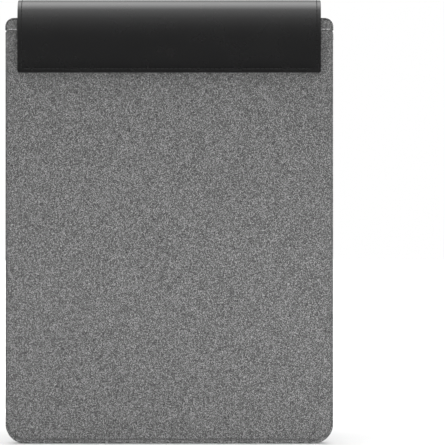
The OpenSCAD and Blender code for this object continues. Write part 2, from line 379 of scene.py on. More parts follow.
foam = {"cells": 2600, "skin": 0.3 * mm, "skinShare": 0.6, "dark": 0.02, "light": 0.085, "relief": 0.1 * mm,
        "bump": 0.7, "surface": {"Roughness": 0.95, "Specular IOR Level": 0.2}}

def makeFoam():
    material, tree, shader = newMaterial("foamCells", foam["surface"])
    place = solidPlace(tree)
    cells = addNode(tree, "ShaderNodeTexVoronoi", {"Vector": place, "Scale": foam["cells"]})
    fuzz = placeGroup(tree, fuzzGroup, place, Size=foam["skin"], Stretch=1.0)
    tone = mixFloat(tree, foam["skinShare"], cells.outputs["Distance"], fuzz.outputs["Tone"])
    feed(tree, shader.inputs["Base Color"], ramp(tree, tone, [(0.1, foam["dark"]), (0.8, foam["light"])]))
    addBump(tree, shader, cells.outputs["Distance"], foam["relief"], foam["bump"])
    return material

board = {"fibre": 0.6 * mm, "stretch": 3.0, "dark": (0.07, 0.062, 0.05), "light": (0.16, 0.145, 0.12),
         "relief": 0.05 * mm, "bump": 0.5, "surface": {"Roughness": 0.9, "Specular IOR Level": 0.3}}

def makeBoard():
    material, tree, shader = newMaterial("greyBoard", board["surface"])
    fuzz = placeGroup(tree, fuzzGroup, solidPlace(tree), Size=board["fibre"], Stretch=board["stretch"])
    pulp = ramp(tree, fuzz.outputs["Tone"], [(0.3, board["dark"]), (0.7, board["light"])])
    feed(tree, shader.inputs["Base Color"], pulp)
    addBump(tree, shader, fuzz.outputs["Height"], board["relief"], board["bump"])
    return material

plate = {"lines": (300, 300, 9000), "uneven": 0.2, "relief": 0.01 * mm, "bump": 0.4}

# Plated metal with fine lines from rolling
def makeMetal(name, dark, light, roughness):
    material, tree, shader = newMaterial(name, {"Metallic": 1, "Specular IOR Level": 0.5})
    rolled = noise(tree, vectorMaths(tree, "MULTIPLY", solidPlace(tree), plate["lines"]), 1, 4, 0.6)
    feed(tree, shader.inputs["Base Color"], ramp(tree, rolled, [(0.3, dark), (0.7, light)]))
    uneven = maths(tree, "MULTIPLY_ADD", rolled, plate["uneven"], roughness - plate["uneven"] / 2)
    feed(tree, shader.inputs["Roughness"], uneven)
    addBump(tree, shader, rolled, plate["relief"], plate["bump"])
    return material

finish = {
    "melange": makeMelange(),
    "leather": makeLeather(),
    "suede": makeSuede(),
    "plush": makePlush(),
    "greyThread": makeThread("greyThread", dark=0.09, light=0.42, roughness=0.75, sheen=0.2, specular=0.4),
    "blackThread": makeThread("blackThread", dark=0.002, light=0.006, roughness=0.6, sheen=0.0,
                              specular=0.25),
    "tackThread": makeThread("tackThread", dark=0.05, light=0.2, roughness=0.75, sheen=0.2, specular=0.4),
    "foam": makeFoam(),
    "board": makeBoard(),
    "steel": makeMetal("zincPlate", dark=(0.42, 0.43, 0.44), light=(0.66, 0.67, 0.68), roughness=0.38),
    "magnet": makeMetal("nickelPlate", dark=(0.5, 0.5, 0.5), light=(0.74, 0.74, 0.73), roughness=0.25),
}

# the pieces that stay as the frame has them
for piece, material in (("gusset_foam", "foam"), ("flap_board", "board"),
                        ("closure_plates", "steel"), ("flap_magnets", "magnet")):
    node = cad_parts[piece]
    if not node.material_slots:
        node.data.materials.append(finish[material])
    for holder in node.material_slots:
        holder.material = finish[material]
print("materials made")


# mesh tools

def smooth(low, high, value):
    t = np.clip((np.asarray(value, float) - low) / (high - low), 0, 1)
    return t * t * (3 - 2 * t)

# how far a quarter-round edge of this radius has dropped at a distance in from it
def roundedEdge(distance, radius):
    t = np.clip(1 - np.asarray(distance, float) / radius, 0, 1)
    return radius * (1 - np.sqrt(1 - t * t))

# how deep a groove is at a distance from its middle
def grooveDepth(distance, depth, half):
    return depth * np.exp(-(distance / half) ** 2)

# distance inwards from the outline of a rectangle with rounded corners; leave an end out with None
def outlineDistance(x, z, half, low=None, lowRadius=0, high=None, highRadius=0):
    x, z = np.broadcast_arrays(np.abs(x), z)
    distance = half - x
    for end, radius, sign in ((low, lowRadius, 1), (high, highRadius, -1)):
        if end is None:
            continue
        up = (z - end) * sign
        inCorner = (x > half - radius) & (up < radius)
        fromCorner = radius - np.hypot(x - half + radius, radius - up)
        distance = np.where(inCorner, np.minimum(fromCorner, distance), np.minimum(distance, up))
    return distance

# half the width left at a height when the corners are rounded
def cornerWidth(half, up, radius):
    t = min(max(1 - up / radius, 0), 1) if radius else 0
    return half - radius * (1 - math.sqrt(1 - t * t))

# distances in millimetres, as a list in metres
def steps(*distances):
    return [d * mm for d in distances]

# places from 0 to a length: fine steps in from each end as given, even steps between
def spacing(length, step, startEdge=(0,), stopEdge=(0,)):
    inner = length - startEdge[-1] - stopEdge[-1]
    count = max(1, math.ceil(inner / step))
    middle = [startEdge[-1] + inner * i / count for i in range(1, count)]
    return list(startEdge) + middle + [length - d for d in reversed(stopEdge)]

# middles of equal lengths, each about one pitch
def evenly(start, stop, pitch):
    count = max(1, round(abs(stop - start) / pitch))
    return [start + (stop - start) * (i + 0.5) / count for i in range(count)]

# places are on the flat pattern, and edges are 1 at a worn edge and 0 away from it
def addMesh(name, points, faces, places, edges, material):
    mesh = bpy.data.meshes.new(name)
    mesh.from_pydata([tuple(p) for p in points], [], faces)
    uv = mesh.uv_layers.new(name="cutPattern")
    corner = np.array([loop.vertex_index for loop in mesh.loops])
    uv.data.foreach_set("uv", np.asarray(places, np.float32)[corner].ravel())
    worn = mesh.attributes.new("edge", "FLOAT", "POINT")
    worn.data.foreach_set("value", np.asarray(edges, np.float32))
    work = bmesh.new()
    work.from_mesh(mesh)
    bmesh.ops.remove_doubles(work, verts=work.verts, dist=0.004 * mm)
    bmesh.ops.recalc_face_normals(work, faces=work.faces)
    for face in work.faces:
        face.smooth = True
    work.to_mesh(mesh)
    work.free()
    mesh.materials.append(material)
    obj = bpy.data.objects.new(name, mesh)
    bpy.context.scene.collection.objects.link(obj)
    return obj

# A layer of material that follows a path. Each station is (point, outward, half width, place along),
# and side is the direction across. front and back give how far each face stands off the path.
def makeLayer(name, material, stations, side, sideEdges, step, front, back, edgeReach=1.5 * mm,
              openStart=False, openStop=False, distance=None):
    points, outward = (np.array([s[k] for s in stations], float)[:, None, :] for k in (0, 1))
    halves, placed = (np.array([s[k] for s in stations])[:, None] for k in (2, 3))
    widest = float(halves.max())
    across = np.array(spacing(2 * widest, step, sideEdges, sideEdges)) - widest
    inner, shift = widest - sideEdges[-1], halves - widest
    xs = np.where(np.abs(across) >= inner - 1e-9, across + np.sign(across) * shift,
                  across * (inner + shift) / inner)
    along = placed + 0 * xs
    flat = points + xs[..., None] * np.array(side, float)
    lifts = front(xs, along), back(xs, along)
    mesh = [(flat + lift[..., None] * outward).reshape(-1, 3) for lift in lifts]
    rows, count = xs.shape

    def at(layer, i, j):
        return layer * rows * count + i * count + j

    faces = []
    for i in range(rows - 1):
        for j in range(count - 1):
            faces.append((at(0, i, j), at(0, i, j + 1), at(0, i + 1, j + 1), at(0, i + 1, j)))
            faces.append((at(1, i, j), at(1, i + 1, j), at(1, i + 1, j + 1), at(1, i, j + 1)))
        for j in (0, count - 1):
            faces.append((at(0, i, j), at(0, i + 1, j), at(1, i + 1, j), at(1, i, j)))
    for i, isOpen in ((0, openStart), (rows - 1, openStop)):
        if not isOpen:
            for j in range(count - 1):
                faces.append((at(0, i, j), at(1, i, j), at(1, i, j + 1), at(0, i, j + 1)))
    toEdge = distance(xs, along) if distance else halves - np.abs(xs)
    edges = np.clip(1 - toEdge / edgeReach, 0, 1).ravel()
    # the side walls run on in the pattern, so the weave is not drawn out over them
    wall, beyond = lifts[0] - lifts[1], xs.copy()
    beyond[:, 0] -= wall[:, 0]
    beyond[:, -1] += wall[:, -1]
    places = [np.stack([x.ravel(), along.ravel()], 1) for x in (xs, beyond)]
    return addMesh(name, np.concatenate(mesh), faces, np.concatenate(places),
                   np.concatenate([edges, edges]), material)

thread = {"radius": 0.34 * mm, "length": 2.7 * mm, "pitch": 3.4 * mm, "rise": 0.12 * mm,
          "dive": 0.45 * mm, "skim": -0.1 * mm, "sides": 7, "round": 2 * mm}

# Stitches as short arched threads that go down into the cloth at both ends.
# Each place is (centre, along, outward).
def makeStitches(name, material, places, radius=thread["radius"], length=thread["length"],
                 rise=thread["rise"]):
    points, faces, pattern, sides = [], [], [], thread["sides"]
    rising = [(0.56, -thread["dive"], 0.45), (0.5, thread["skim"], 0.85), (0.3, 0.7 * rise, 1.0)]
    profile = [(-t, lift, wide) for t, lift, wide in rising] + [(0, rise, 1.05)] + rising[::-1]
    for centre, along, outward in places:
        centre, along, outward = np.array(centre), np.array(along), np.array(outward)
        cross = np.cross(along, outward)
        base = len(points)
        for t, lift, wide in profile:
            for k in range(sides):
                angle = 2 * math.pi * k / sides
                points.append(centre + along * t * length + outward * (lift + radius * wide * math.sin(angle))
                              + cross * radius * wide * math.cos(angle))
                pattern.append((t * length + centre[0], k / sides * thread["round"]))
        for i in range(len(profile) - 1):
            for k in range(sides):
                a, b = base + i * sides + k, base + i * sides + (k + 1) % sides
                faces.append((a, b, b + sides, a + sides))
        faces.append(tuple(base + k for k in reversed(range(sides))))
        faces.append(tuple(base + (len(profile) - 1) * sides + k for k in range(sides)))
    return addMesh(name, points, faces, pattern, [0] * len(points), material)

# slow, uneven waves that cloth keeps from being handled, each between the shortest and the longest
def handling(x, z, seed, shortest, longest, count=9):
    random = np.random.RandomState(seed)
    total = 0 * x
    for wave in range(count):
        angle, phase = random.uniform(0, math.pi), random.uniform(0, 2 * math.pi)
        length = random.uniform(shortest, longest)
        total = total + np.cos((x * math.cos(angle) + z * math.sin(angle)) * 2 * math.pi / length + phase)
    return total / count


# padded panels

panel = {
    "cell": 5 * mm, "depth": 3 * mm, "uneven": 0.05 * mm,          # the pad that cloth pressure blows up
    "quality": 5, "mass": 0.4, "stretch": 12, "bend": 2, "pressure": 4.0, "frames": 20,
    "swell": 0.9 * mm,                                             # the most that a face may move out
    "underFlap": 0.18, "flapFrom": 250 * mm, "flapTo": 272 * mm,   # held flatter under the flap
    "mouthFrom": 300 * mm, "mouthTo": 308 * mm,                    # and flat at the binding
    "wavy": 0.12 * mm, "waves": (40 * mm, 160 * mm),
    "pucker": 0.05 * mm, "puckers": (6 * mm, 13 * mm), "puckerReach": 6 * mm,
    "edgeFlat": 0.5 * mm, "edgeFree": 12 * mm,                     # from the seam in to where it swells fully
    "step": 4.5 * mm,
}
seamSteps = steps(0, 0.08, 0.25, 0.5, 0.85, 1.25, 1.75, 2.3, 3.2, 5, 8)

# closed sheet of two layers, with the cells of a grid; gives its points, faces and rim
def padBlank(xs, zs, rough):
    wide, size = len(xs), len(xs) * len(zs)
    rows, columns = len(zs) - 1, len(xs) - 1
    points = [(x, -rough[i, j] if layer == 0 else panel["depth"], z)
              for layer in (0, 1) for i, z in enumerate(zs) for j, x in enumerate(xs)]
    faces = []
    for i in range(rows):
        for j in range(columns):
            a = i * wide + j
            faces.append((a, a + 1, a + wide + 1, a + wide))
            faces.append((size + a, size + a + wide, size + a + wide + 1, size + a + 1))
    rim = (list(range(columns + 1)) + [i * wide + columns for i in range(1, rows + 1)]
           + [rows * wide + j for j in range(columns - 1, -1, -1)]
           + [i * wide for i in range(rows - 1, 0, -1)])
    for a, b in zip(rim, rim[1:] + rim[:1]):
        faces.append((b, a, size + a, size + b))
    return points, faces, rim

# A coarse closed pad of the panel's size, blown up with cloth pressure while its back and its rim are held.
# Gives how far its face has moved out, as a grid.
def swellPad(seed):
    low, high = sleeve["seamBase"], sleeve["bindingLow"]
    half = sleeve["halfWidth"] - sleeve["seamSide"]
    columns, rows = round(2 * half / panel["cell"]), round((high - low) / panel["cell"])
    xs, zs = np.linspace(-half, half, columns + 1), np.linspace(low, high, rows + 1)
    relief = np.zeros((rows + 1, columns + 1))
    rough = np.random.RandomState(seed).uniform(-1, 1, relief.shape) * panel["uneven"]
    points, faces, rim = padBlank(xs, zs, rough)
    mesh = bpy.data.meshes.new("padBlank")
    mesh.from_pydata(points, [], faces)
    obj = bpy.data.objects.new("padBlank", mesh)
    bpy.context.scene.collection.objects.link(obj)
    held = obj.vertex_groups.new(name="held")
    held.add(rim + list(range(relief.size, 2 * relief.size)), 1, "REPLACE")
    cloth = obj.modifiers.new("swell", "CLOTH")
    cloth.settings.quality = panel["quality"]
    cloth.settings.mass = panel["mass"]
    cloth.settings.tension_stiffness = panel["stretch"]
    cloth.settings.compression_stiffness = panel["stretch"]
    cloth.settings.bending_stiffness = panel["bend"]
    cloth.settings.vertex_group_mass = "held"
    cloth.settings.use_pressure = True
    cloth.settings.uniform_pressure_force = panel["pressure"]
    cloth.settings.effector_weights.gravity = 0
    cloth.collision_settings.use_collision = False
    cloth.collision_settings.use_self_collision = False
    scene = bpy.context.scene
    for step in range(1, panel["frames"] + 1):
        scene.frame_set(step)
    shaped = obj.evaluated_get(bpy.context.evaluated_depsgraph_get()).to_mesh()
    moved = np.zeros(len(shaped.vertices) * 3, np.float32)
    shaped.vertices.foreach_get("co", moved)
    relief = -moved.reshape(-1, 3)[:relief.size, 1].reshape(relief.shape)
    bpy.data.objects.remove(obj)
    scene.frame_set(1)
    print(f"pad swelled by up to {relief.max() / mm:.1f} mm before its cap")
    return xs, zs, panel["swell"] * np.tanh(np.clip(relief, 0, None) / panel["swell"])

# the value at a place, read off a grid and eased between its points
def readGrid(xs, zs, values, x, z):
    i = np.clip((z - zs[0]) / (zs[1] - zs[0]), 0, len(zs) - 1.001)
    j = np.clip((x - xs[0]) / (xs[1] - xs[0]), 0, len(xs) - 1.001)
    i0, j0 = i.astype(int), j.astype(int)
    u, v = i - i0, j - j0
    return ((values[i0, j0] * (1 - v) + values[i0, j0 + 1] * v) * (1 - u)
            + (values[i0 + 1, j0] * (1 - v) + values[i0 + 1, j0 + 1] * v) * u)

# height of a sleeve face above the middle plane, at a distance in from its seam
def shoulderHeight(inwards):
    rise = sleeve["face"] - sleeve["seamDepth"]
    t = np.clip(1 - np.asarray(inwards, float) / sleeve["shoulder"], 0, 1)
    return sleeve["seamDepth"] + rise * np.sqrt(1 - t * t)

def makePanel(name, sign, seed, nodes):
    low, high, p = sleeve["seamBase"], sleeve["bindingLow"], panel
    half, radius = sleeve["halfWidth"] - sleeve["seamSide"], sleeve["bottomRadius"] - sleeve["seamSide"]
    xs, zs, relief = swellPad(seed)
    heights = spacing(high - low, p["step"], seamSteps, steps(0, 0.3, 1))
    stations = [((0, 0, low + up), (0, sign, 0), cornerWidth(half, up, radius), low + up) for up in heights]

    def front(x, z):
        inwards = outlineDistance(x, z, half, low, radius)
        free = 1 - (1 - p["underFlap"]) * smooth(p["flapFrom"], p["flapTo"], z)
        free = free * (1 - smooth(p["mouthFrom"], p["mouthTo"], z))
        free = free * smooth(p["edgeFlat"], p["edgeFree"], inwards)
        rise = readGrid(xs, zs, relief, x, z) + p["wavy"] * handling(x, z, seed, *p["waves"])
        pucker = p["pucker"] * handling(x, z, seed + 7, *p["puckers"])
        pucker = pucker * (1 - smooth(0, p["puckerReach"], inwards)) * smooth(0, p["edgeFlat"], inwards)
        return shoulderHeight(inwards) + rise * free + pucker

    def back(x, z):
        return sleeve["foamBack"] + 0 * x

    obj = makeLayer(name, finish["melange"], stations, (1, 0, 0), seamSteps, p["step"], front, back)
    rounding = obj.modifiers.new("round", "SUBSURF")
    rounding.levels = 1
    rounding.render_levels = 1
    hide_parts(*nodes)
    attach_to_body(obj, "sleeve")

makePanel("front_panel", -1, 11, ["front_fabric", "front_foam"])
makePanel("back_panel", 1, 23, ["back_fabric", "back_foam"])
print("padded panels made")


# lining

lining = {"edge": 0.5 * mm, "wavy": 0.07 * mm, "waves": (10 * mm, 50 * mm), "calmEdge": 4 * mm,
          "bottomIn": 1.4 * mm, "topRadius": 1 * mm, "glue": 0.02 * mm, "step": 5 * mm}
liningSteps = steps(0, 0.1, 0.3, 0.6, 1.2, 3)

def makeLining(name, sign, seed, node):
    low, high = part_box(node)
    half, radius = high.x, sleeve["bottomRadius"] - lining["bottomIn"]
    heights = spacing(high.z - low.z, lining["step"], liningSteps, liningSteps)
    stations = [((0, 0, low.z + up), (0, -sign, 0), cornerWidth(half, up, radius), low.z + up)
                for up in heights]

    def front(x, z):
        inwards = outlineDistance(x, z, half, low.z, radius, high.z, lining["topRadius"])
        wavy = lining["wavy"] * handling(x, z, seed, *lining["waves"])
        wavy = wavy * smooth(0, lining["calmEdge"], inwards)
        return -sleeve["cavity"] - roundedEdge(inwards, lining["edge"]) + wavy

    def back(x, z):
        return -sleeve["foamBack"] + lining["glue"] + 0 * x

    obj = makeLayer(name, finish["plush"], stations, (1, 0, 0), liningSteps, lining["step"], front, back)
    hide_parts(node)
    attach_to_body(obj, "sleeve")

makeLining("front_lining_plush", -1, 31, "front_lining")
makeLining("back_lining_plush", 1, 37, "back_lining")
print("linings made")


# mouth bindings

binding = {
    "rollPeak": 7.0 * mm, "rollWidth": 1.2 * mm, "base": 5.9 * mm, "lowRound": 0.55 * mm, "lowDrop": 0.6,
    "groove": 0.34 * mm, "grooveHalf": 0.42 * mm, "stitchUp": 0.85 * mm, "stitchSunk": 0.28 * mm,
    "stitchEnd": 1.2 * mm,               # from the seam in to the line's last stitch
    "wavy": 0.06 * mm, "waves": (12 * mm, 60 * mm), "wavyFrom": 1.2 * mm, "wavyTo": 4 * mm,
    "easeIn": 0.6 * mm, "innerRound": 1.6 * mm, "rowStep": 0.6 * mm, "columnStep": 4 * mm,
}
bindingSide = steps(0, 0.1, 0.25, 0.45, 0.7, 0.92, 1.05, 1.15, 1.25, 1.4, 1.6, 1.9, 2.3, 2.8, 3.5, 4.3,
                    5.2, 6.5, 9)
bindingTop = bindingSide[:16]
bindingLow = steps(0, 0.1, 0.25, 0.45, 0.7, 0.9, 1.05, 1.2, 1.35, 1.5, 1.75, 2.2)

# the piped edge that ends outside the seam, and the shoulder inside it
def bindingHeight(outside):
    half = binding["rollWidth"] / 2
    t = np.clip((outside - half) / half, -1, 1)
    piped = binding["base"] + (binding["rollPeak"] - binding["base"]) * np.sqrt(1 - t * t)
    inwards = outside - sleeve["seamSide"]
    return np.where(inwards > 0, np.maximum(shoulderHeight(inwards), 0), piped)

def makeBinding(name, sign, seed, nodes):
    s, b = sleeve, binding
    low, high, half, radius = s["bindingLow"], s["mouth"], s["halfWidth"], s["mouthRadius"]
    heights = spacing(high - low, b["rowStep"], bindingLow, bindingTop)
    stations = []
    for up in heights:
        wide = min(cornerWidth(half, high - low - up, radius), cornerWidth(half, up, b["lowRound"]))
        stations.append(((0, 0, low + up), (0, sign, 0), wide, low + up))

    def front(x, z):
        outside = outlineDistance(x, z, half, None, 0, high, radius)
        lowEdge = b["lowDrop"] * roundedEdge(z - low, b["lowRound"])
        sunk = grooveDepth(z - low - b["stitchUp"], b["groove"], b["grooveHalf"])
        wavy = b["wavy"] * handling(x, z, seed, *b["waves"]) * smooth(b["wavyFrom"], b["wavyTo"], outside)
        return bindingHeight(outside) - (lowEdge + sunk) * smooth(0, b["easeIn"], outside) + wavy

    def back(x, z):
        outside = outlineDistance(x, z, half, None, 0, high, radius)
        t = np.clip(1 - outside / b["innerRound"], 0, 1)
        return s["cavity"] + (b["base"] - s["cavity"]) * (1 - np.sqrt(1 - t * t))

    obj = makeLayer(name, finish["melange"], stations, (1, 0, 0), bindingSide, b["columnStep"], front, back)
    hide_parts(nodes[0])
    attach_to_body(obj, "sleeve")
    reach = half - s["seamSide"] - b["stitchEnd"]
    places = [((x, sign * (s["face"] - b["stitchSunk"]), low + b["stitchUp"]), (1, 0, 0), (0, sign, 0))
              for x in evenly(-reach, reach, thread["pitch"])]
    stitches = makeStitches(name + "_thread", finish["greyThread"], places)
    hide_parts(nodes[1])
    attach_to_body(stitches, "sleeve")

makeBinding("front_binding", -1, 41, ["front_mouth_binding", "front_mouth_stitches"])
makeBinding("back_binding", 1, 43, ["back_mouth_binding", "back_mouth_stitches"])
print("mouth bindings made")


# gusset

gusset = {
    "halfDepth": 6.9 * mm, "edge": 1.0 * mm, "crown": 0.22 * mm, "endRound": 0.8 * mm,
    "side": 1.35 * mm, "base": 2.95 * mm,                          # thickness up the sides and along the base
    "innerEdge": 0.35 * mm, "innerDrop": 0.6,
    "top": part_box("gusset_fabric")[1].z, "step": 6 * mm, "columnStep": 2 * mm, "cornerParts": 15,
    "liningOuter": 2.9 * mm, "liningInner": 3.5 * mm, "liningEnd": 0.3 * mm, "liningGap": 0.03 * mm,
    "liningWavy": 0.05 * mm, "liningWaves": (6 * mm, 30 * mm), "liningStep": 1.5 * mm,
}
gussetSteps = steps(0, 0.06, 0.18, 0.36, 0.6, 0.85, 1.1, 1.6, 2.4)

# Down the left side, round the base and up the right, on the sleeve's silhouette moved in by a margin.
# The last value of each station is 0 up the sides and 1 along the base.
def gussetPath(margin, endSteps, endRadius, halfDepth):
    half, radius = sleeve["halfWidth"] - margin, sleeve["bottomRadius"] - margin
    straight, turn, flat = gusset["top"] - margin - radius, radius * math.pi / 2, 2 * (half - radius)
    total = 2 * (straight + turn) + flat
    left = [((-half, 0, gusset["top"] - down), (-1, 0, 0), down, 0.0)
            for down in spacing(straight, gusset["step"], endSteps)]
    for i in range(1, gusset["cornerParts"] + 1):
        share = i / gusset["cornerParts"]
        a = math.pi / 2 * share
        left.append(((-half + radius * (1 - math.cos(a)), 0, margin + radius * (1 - math.sin(a))),
                     (-math.cos(a), 0, -math.sin(a)), straight + turn * share, math.sin(a)))
    base = [((-half + radius + along, 0, margin), (0, 0, -1), straight + turn + along, 1.0)
            for along in spacing(flat, gusset["step"])[1:]]
    right = [((-point[0], 0, point[2]), (-outward[0], 0, outward[2]), total - along, low)
             for point, outward, along, low in reversed(left[:-1])]
    return [(point, outward, cornerWidth(halfDepth, min(along, total - along), endRadius), along, low)
            for point, outward, along, low in left + base + right]

def makeGusset():
    g = gusset
    path = gussetPath(0, gussetSteps[:7], g["endRound"], g["halfDepth"])
    total, low = path[-1][3], np.array([station[4] for station in path])[:, None]

    def front(y, along):
        inwards = np.minimum(g["halfDepth"] - np.abs(y), np.minimum(along, total - along))
        return -roundedEdge(inwards, g["edge"]) - g["crown"] * (y / g["halfDepth"]) ** 2 * (1 - low)

    def back(y, along):
        thick = g["side"] + (g["base"] - g["side"]) * low
        return -thick + g["innerDrop"] * roundedEdge(g["halfDepth"] - np.abs(y), g["innerEdge"])

    obj = makeLayer("gusset", finish["melange"], path, (0, 1, 0), gussetSteps, g["columnStep"], front, back)
    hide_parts("gusset_fabric")
    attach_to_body(obj, "sleeve")

    lined = gussetPath(g["liningOuter"], liningSteps, g["liningEnd"], sleeve["cavity"] - g["liningGap"])

    def glued(y, along):
        return 0 * y

    def pile(y, along):
        wavy = g["liningWavy"] * handling(y, along, 53, *g["liningWaves"])
        return g["liningOuter"] - g["liningInner"] + wavy

    obj = makeLayer("gusset_plush", finish["plush"], lined, (0, 1, 0), steps(0, 0.3, 1), g["liningStep"],
                    glued, pile)
    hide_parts("gusset_lining")
    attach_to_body(obj, "sleeve")

makeGusset()

# the gusset's top end, turned over its foam and down inside
hem = {
    "thick": 0.7 * mm, "outer": 0.95 * mm, "inner": 4.0 * mm,      # its two legs, in from the silhouette
    "halfDepth": 3.72 * mm, "legOut": 3 * mm, "legIn": 7 * mm, "step": 1 * mm, "columnStep": 0.9 * mm,
    "turnParts": 12, "flat": 0.45, "turnLength": 0.8,              # the turn is pressed flat
}

def makeHem(name, side):
    top, half = gusset["top"], sleeve["halfWidth"]
    radius, middle = (hem["inner"] - hem["outer"]) / 2, (hem["inner"] + hem["outer"]) / 2
    path, turned = [], radius * math.pi * hem["turnLength"]
    for up in spacing(hem["legOut"], hem["step"]):
        path.append((hem["outer"], top - hem["legOut"] + up, (1, 0), up))
    for i in range(1, hem["turnParts"] + 1):
        a = math.pi * i / hem["turnParts"]
        path.append((middle - radius * math.cos(a), top + radius * hem["flat"] * math.sin(a),
                     (math.cos(a), math.sin(a)), hem["legOut"] + turned * i / hem["turnParts"]))
    for down in spacing(hem["legIn"], hem["step"], [0], steps(0, 0.1, 0.3))[1:]:
        path.append((hem["inner"], top - down, (-1, 0), hem["legOut"] + turned + down))
    last = path[-1][3]
    stations = [((side * (half - margin), 0, z), (side * out[0], 0, out[1]), hem["halfDepth"], s)
                for margin, z, out, s in path]

    def front(y, s):
        inwards = np.minimum(hem["halfDepth"] - np.abs(y), last - s)
        return hem["thick"] / 2 - roundedEdge(inwards, hem["thick"] / 2)

    def back(y, s):
        return -front(y, s)

    obj = makeLayer(name, finish["melange"], stations, (0, 1, 0), steps(0, 0.1, 0.25, 0.5), hem["columnStep"],
                    front, back)
    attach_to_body(obj, "sleeve")

makeHem("gusset_hem_left", -1)
makeHem("gusset_hem_right", 1)

# close threads sewn across each top end of the gusset
tack = {"threads": 7, "radius": 0.3 * mm, "length": 6.4 * mm, "sunk": 0.12 * mm}

def makeTacks():
    low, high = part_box("bar_tacks")
    heights = evenly(low.z, high.z, (high.z - low.z) / tack["threads"])
    places = [((side * (sleeve["halfWidth"] - tack["sunk"]), 0, z), (0, 1, 0), (side, 0, 0))
              for side in (-1, 1) for z in heights]
    obj = makeStitches("bar_tack_thread", finish["tackThread"], places, tack["radius"], tack["length"])
    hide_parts("bar_tacks")
    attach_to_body(obj, "sleeve")

makeTacks()
print("gusset made")


# leather

roll = {
    "axisY": -0.925 * mm, "axisZ": 322 * mm, "radius": 10.025 * mm, "lineStep": 0.05 * mm,
    "tilt": 12.5, "settle": 28 * mm,                               # how the front leans back off the roll
    "low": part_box("flap_leather")[0].z - 0.8 * mm, "half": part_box("flap_leather")[1].x - 0.75 * mm,
    "anchorLow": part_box("flap_anchor")[0].z, "anchorTop": 316.2 * mm, "frontTop": 318.5 * mm,
    "turns": (12, 54, 90, 126, 162),                               # the cuts round the roll, in degrees
    "bodies": ("sleeve", "roll_1", "roll_2", "roll_3", "roll_4", "roll_5", "flap"),
    "bendIn": 1.78 * mm, "backBend": 8.5 * mm, "frontBend": -10 * mm, "bendOver": 0.12 * mm,
}
hide = {"thick": 1.1 * mm, "suede": 0.6 * mm, "edge": 0.5 * mm, "innerEdge": 0.3 * mm, "corner": 1.4 * mm,
        "stitchIn": 3 * mm, "groove": 0.04 * mm, "grooveHalf": 0.42 * mm, "pillow": 0.12 * mm,
        "pillowReach": 9 * mm, "anchorStep": 4 * mm, "rollStep": 0.55 * mm, "flapStep": 3 * mm,
        "columnStep": 6 * mm}
hideSteps = steps(0, 0.05, 0.15, 0.3, 0.5, 0.9, 1.6, 2.2, 2.5, 2.75, 3, 3.25, 3.5, 3.8, 4.4, 6, 9)
openSteps = steps(0, 0.02, 0.2)          # a hair-thin first step, so that neighbours shade alike at a cut

# The leather's outer face as one line from the anchor's lower end over the roll to the flap's lower end,
# as a list of (y, z, tilt), tilt being the outward direction's angle from the back.
def makeRollLine():
    r, line, step = roll, [], roll["lineStep"]
    y, z = r["axisY"] + r["radius"], r["anchorLow"]
    while z < r["axisZ"]:
        line.append((y, z, 0.0))
        z += step
    stop = math.radians(180 - r["tilt"])
    count = math.ceil(stop * r["radius"] / step)
    for i in range(count + 1):
        a = stop * i / count
        y, z = r["axisY"] + r["radius"] * math.cos(a), r["axisZ"] + r["radius"] * math.sin(a)
        line.append((y, z, math.degrees(a)))
    gone = 0
    while z > r["low"] + step:
        lean = r["tilt"] * max(0, 1 - gone / r["settle"]) ** 3
        y -= math.sin(math.radians(lean)) * step
        z -= math.cos(math.radians(lean)) * step
        gone += step
        line.append((y, z, 180 - lean))
    line.append((y, r["low"], 180.0))
    return np.array(line)

rollLine = makeRollLine()
rollAlong = np.concatenate([[0], np.cumsum(np.hypot(*np.diff(rollLine[:, :2], axis=0).T))])
flapEnd = float(rollAlong[-1])

# (y, z, tilt) at a distance along the leather
def onRoll(along):
    return [np.interp(along, rollAlong, rollLine[:, k]) for k in range(3)]

# distance along the leather at an angle round the roll, or at a height on either side of it
def alongAtAngle(angle):
    return float(np.interp(angle, rollLine[:, 2], rollAlong))

def alongAtHeight(z, onFront):
    if onFront:
        part = rollLine[:, 2] > 90
        return float(np.interp(-z, -rollLine[part, 1], rollAlong[part]))
    part = rollLine[:, 2] < 1
    return float(np.interp(z, rollLine[part, 1], rollAlong[part]))

# a station of makeLayer at a distance along the leather
def rollStation(along, half):
    y, z, tilt = onRoll(along)
    a = math.radians(tilt)
    return ((0, float(y), float(z)), (0, math.cos(a), math.sin(a)), half, along)

# the leather is thicker where it wraps the board; its inner face stays where the frame has it
boardFace = {"thin": 9.85 * mm, "thick": 8.95 * mm, "low": 313.5 * mm, "high": 320.5 * mm,
             "tiltFrom": 162, "tiltTo": 174}

def leatherThickness(along):
    y, z, tilt = onRoll(along)
    share = 1 - smooth(boardFace["low"], boardFace["high"], z)
    inner = boardFace["thin"] + (boardFace["thick"] - boardFace["thin"]) * share
    atFront = smooth(boardFace["tiltFrom"], boardFace["tiltTo"], tilt)
    return hide["thick"] * (1 - atFront) + np.maximum(-y - inner, hide["thick"]) * atFront

# where the leather is cut into pieces, one for each joint and the two ends
cuts = ([0, alongAtHeight(roll["anchorTop"], False)] + [alongAtAngle(a) for a in roll["turns"]]
        + [alongAtHeight(roll["frontTop"], True), flapEnd])

def endDistance(along):
    return np.minimum(along, flapEnd - along)

# distance to the nearest edge of the whole strip, as if its corners were square
def straightDistance(x, along):
    return np.minimum(roll["half"] - np.abs(x), endDistance(along))

def leatherEdge(x, along):
    side, end, corner = roll["half"] - np.abs(x), endDistance(along), hide["corner"]
    inCorner = (side < corner) & (end < corner)
    return np.where(inCorner, corner - np.hypot(corner - side, corner - end), np.minimum(side, end))

